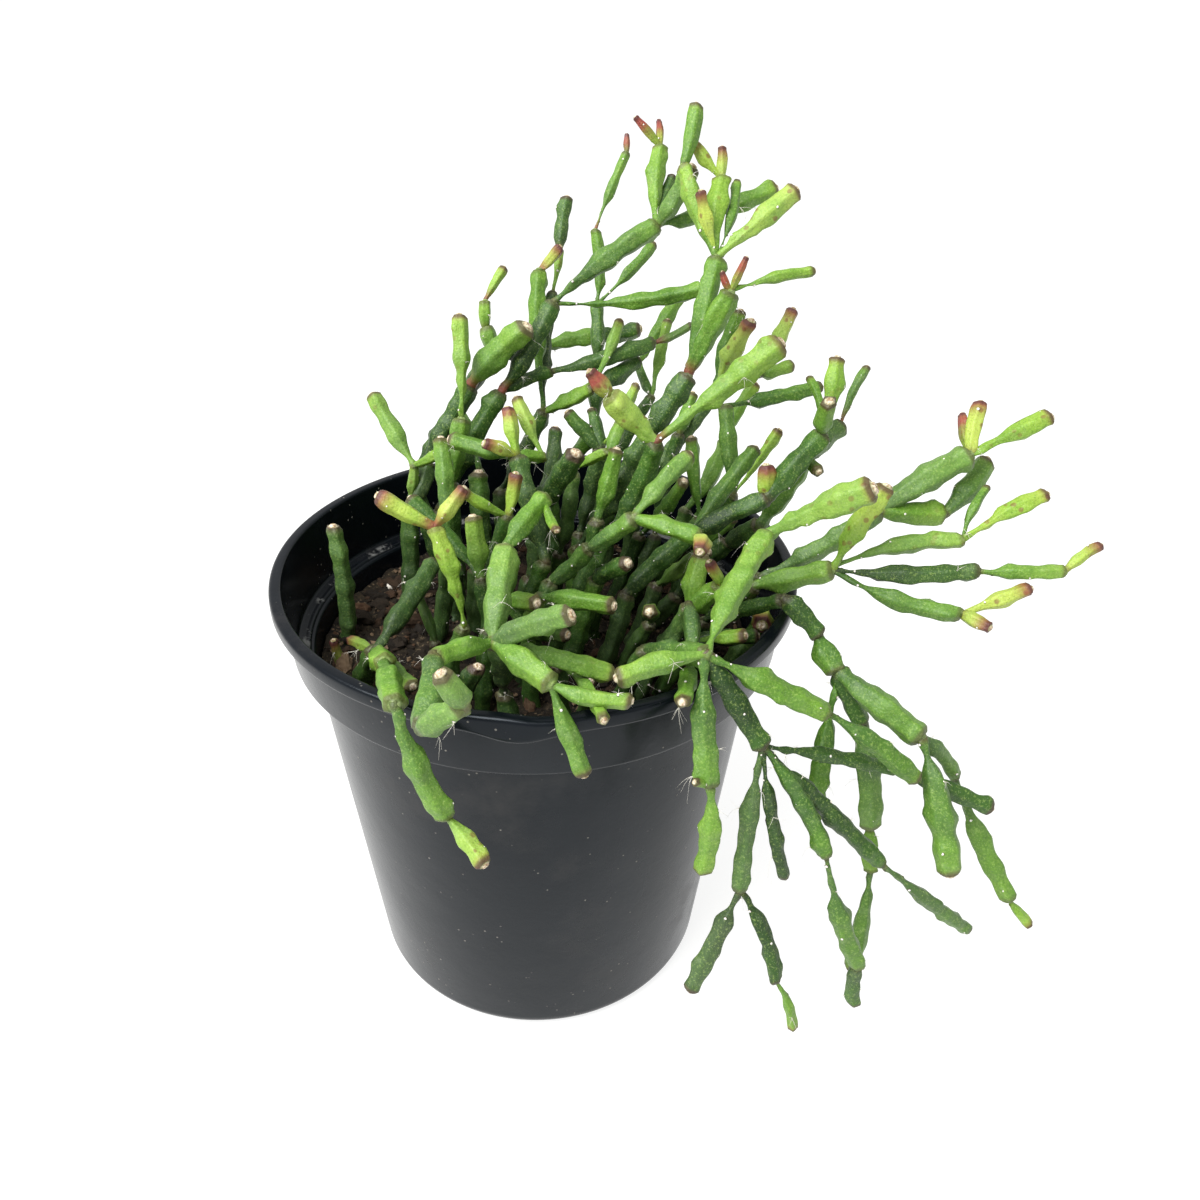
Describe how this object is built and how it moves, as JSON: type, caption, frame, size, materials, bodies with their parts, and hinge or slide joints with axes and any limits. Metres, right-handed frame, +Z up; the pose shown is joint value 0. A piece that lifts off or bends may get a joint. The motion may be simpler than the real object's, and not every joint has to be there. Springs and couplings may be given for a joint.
{
  "type": "potted rhipsalis",
  "caption": "Potted rhipsalis: a clump of jointed, club-shaped green stems growing from soil in a thin-walled nursery pot and trailing over its rim.",
  "frame": {"origin": "middle of the flat underside of the pot, on the surface that it stands on", "axes": "+Z up along the pot's axis; the stems trail furthest towards +X and hang over the rim towards -Y"},
  "size_m": [0.174, 0.1479, 0.2028],
  "materials": {
    "pot_plastic": "thin moulded polypropylene, dark charcoal, semi-gloss, with fine scratches and dust",
    "soil": "moist bark and peat potting mix, lumpy, dark red-brown",
    "stem": "waxy green skin, dark on old segments and lime on young ones, with corky tips and small pale areoles",
    "perlite": "chalky white grains in the soil",
    "bristle": "fine silky white hairs"
  },
  "bodies": {
    "root": {"nursery_pot": "pot_plastic", "potting_soil": "soil", "stem_left_short": "stem", "stem_left_rim": "stem", "stem_left_fork": "stem", "stem_left_pair": "stem", "stem_left_bud": "stem", "stem_left_tall": "stem", "stem_left_mid": "stem", "stem_left_stub": "stem", "stem_left_crown": "stem", "stem_left_sprig": "stem", "stem_front_star": "stem", "stem_front_low": "stem", "stem_rear_left": "stem", "stem_rear_arch": "stem", "stem_rear_centre": "stem", "stem_rear_right": "stem", "stem_rear_mid": "stem", "stem_rear_spray": "stem", "stem_back_left": "stem", "stem_back_fork": "stem", "stem_back_right": "stem", "stem_back_low_left": "stem", "stem_back_low_right": "stem", "stem_back_side": "stem", "stem_mid_sprig": "stem", "stem_centre_bud": "stem", "stem_tall_centre": "stem", "stem_centre_fork": "stem", "stem_centre_sprig": "stem", "stem_centre_arm": "stem", "stem_centre_curl": "stem", "stem_centre_stub": "stem", "stem_right_rise": "stem", "stem_right_knot": "stem", "stem_right_drop": "stem", "stem_right_star": "stem", "stem_right_rim": "stem", "stem_right_low": "stem", "stem_right_fan": "stem", "stem_right_arm": "stem", "stem_right_facing": "stem", "stem_upper_right": "stem", "stem_upper_mid": "stem", "stem_inner_front": "stem", "stem_inner_star": "stem", "stem_inner_low": "stem", "stem_inner_right": "stem", "stem_inner_back": "stem", "stem_inner_rim": "stem", "stem_inner_deep": "stem", "stem_inner_spray": "stem", "stem_soil_bud_left": "stem", "stem_soil_bud_front": "stem", "stem_soil_bud_right": "stem"}
  },
  "joints": []
}
